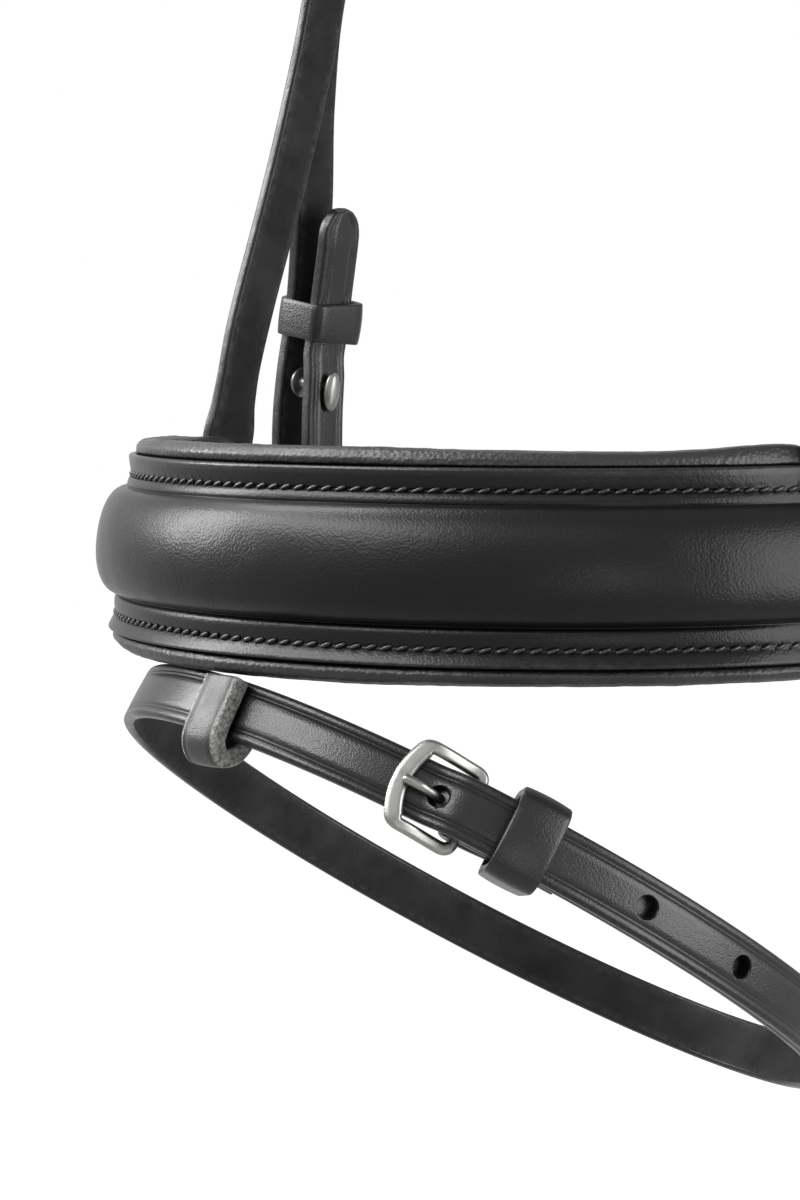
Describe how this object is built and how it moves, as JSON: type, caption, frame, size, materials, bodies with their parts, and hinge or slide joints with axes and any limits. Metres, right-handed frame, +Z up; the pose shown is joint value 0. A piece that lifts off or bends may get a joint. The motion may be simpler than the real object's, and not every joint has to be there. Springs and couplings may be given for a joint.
{
  "type": "anatomic bridle",
  "caption": "Padded leather bridle with shaped crown, bowed browband, hook stud cheekpieces, wide padded noseband on its own straps and a flash strap below it.",
  "frame": {"origin": "middle of the crown pad's underside, where the bridle rests on the poll", "axes": "+Z up, -Y towards the nose, +X towards the horse's near (left) side"},
  "size_m": [0.2298, 0.2455, 0.537],
  "materials": {
    "bridle_leather": "satin",
    "soft_leather": "matt",
    "steel": "brushed",
    "foam": "matt"
  },
  "bodies": {
    "headpiece": {"crown_leather": "bridle_leather", "crown_pad": "soft_leather"},
    "browband": {"browband_leather": "bridle_leather", "browband_pad": "soft_leather", "browband_loop_near": "bridle_leather", "browband_loop_off": "bridle_leather"},
    "cheekpiece_near_strap": {"cheek_billet_near": "bridle_leather", "cheekpiece_near": "bridle_leather", "cheek_buckle_near": "steel", "cheek_keeper_near": "bridle_leather", "bit_keeper_near": "bridle_leather", "hook_stud_near": "steel"},
    "cheekpiece_off_strap": {"cheek_billet_off": "bridle_leather", "cheekpiece_off": "bridle_leather", "cheek_buckle_off": "steel", "cheek_keeper_off": "bridle_leather", "bit_keeper_off": "bridle_leather", "hook_stud_off": "steel"},
    "cheek_tongue_near_body": {"cheek_tongue_near": "steel"},
    "cheek_tongue_off_body": {"cheek_tongue_off": "steel"},
    "noseband": {"noseband_cover": "bridle_leather", "noseband_core": "foam", "noseband_lining": "soft_leather", "noseband_billet": "bridle_leather", "noseband_hanger_near": "bridle_leather", "noseband_hanger_off": "bridle_leather", "hanger_buckle": "steel", "hanger_keeper": "bridle_leather", "chin_billet": "bridle_leather", "chin_strap": "bridle_leather", "chin_buckle": "steel", "chin_keeper": "bridle_leather", "chin_pad": "soft_leather"},
    "hanger_tongue_body": {"hanger_tongue": "steel"},
    "chin_tongue_body": {"chin_tongue": "steel"},
    "chin_runner_body": {"chin_runner": "bridle_leather"},
    "flash": {"flash_tab": "bridle_leather", "flash_strap": "bridle_leather", "flash_buckle": "steel"},
    "flash_tongue_body": {"flash_tongue": "steel"},
    "flash_keeper_body": {"flash_keeper": "bridle_leather"}
  },
  "joints": [
    {"name": "browband_slide", "type": "slide", "parent": "headpiece", "child": "browband", "axis": [0, 0, 1], "range_m": [0, 0.012]},
    {"name": "cheekpiece_near_swing", "type": "hinge", "parent": "headpiece", "child": "cheekpiece_near_strap", "pos_m": [0.0688, 0.012, -0.118], "axis": [1, 0, 0], "range_deg": [0, 20]},
    {"name": "cheekpiece_off_swing", "type": "hinge", "parent": "headpiece", "child": "cheekpiece_off_strap", "pos_m": [-0.0688, 0.012, -0.118], "axis": [1, 0, 0], "range_deg": [0, 20]},
    {"name": "cheek_tongue_near_lift", "type": "hinge", "parent": "cheekpiece_near_strap", "child": "cheek_tongue_near_body", "pos_m": [0.06824, 0.01209, -0.1642], "axis": [0, 0.9999, 0.0146], "range_deg": [0, 8]},
    {"name": "cheek_tongue_off_lift", "type": "hinge", "parent": "cheekpiece_off_strap", "child": "cheek_tongue_off_body", "pos_m": [-0.06824, 0.01209, -0.1642], "axis": [0, -0.9999, -0.0146], "range_deg": [0, 8]},
    {"name": "noseband_swing", "type": "hinge", "parent": "headpiece", "child": "noseband", "pos_m": [0, -0.009, -0.118], "axis": [1, 0, 0], "range_deg": [-15, 0]},
    {"name": "hanger_tongue_lift", "type": "hinge", "parent": "noseband", "child": "hanger_tongue_body", "pos_m": [0.05991, -0.00921, -0.16421], "axis": [0, 0.9995, -0.0327], "range_deg": [0, 8]},
    {"name": "chin_tongue_lift", "type": "hinge", "parent": "noseband", "child": "chin_tongue_body", "pos_m": [0.07468, 0.04266, -0.39087], "axis": [-0.0971, -0.0756, 0.9924], "range_deg": [0, 8]},
    {"name": "chin_runner_slide", "type": "hinge", "parent": "noseband", "child": "chin_runner_body", "pos_m": [0.0006, -0.01709, -0.39], "axis": [0, 0, 1], "range_deg": [-5, 5]},
    {"name": "flash_swing", "type": "hinge", "parent": "noseband", "child": "flash", "pos_m": [0, -0.10607, -0.41529], "axis": [1, 0, 0], "range_deg": [-30, 2]},
    {"name": "flash_tongue_lift", "type": "hinge", "parent": "flash", "child": "flash_tongue_body", "pos_m": [0.05128, -0.08449, -0.44154], "axis": [0.1171, 0.5153, 0.849], "range_deg": [0, 8]},
    {"name": "flash_keeper_slide", "type": "hinge", "parent": "flash", "child": "flash_keeper_body", "pos_m": [-0.0196, -0.02238, -0.46946], "axis": [0.1172, 0.5153, 0.849], "range_deg": [0, 5]}
  ]
}
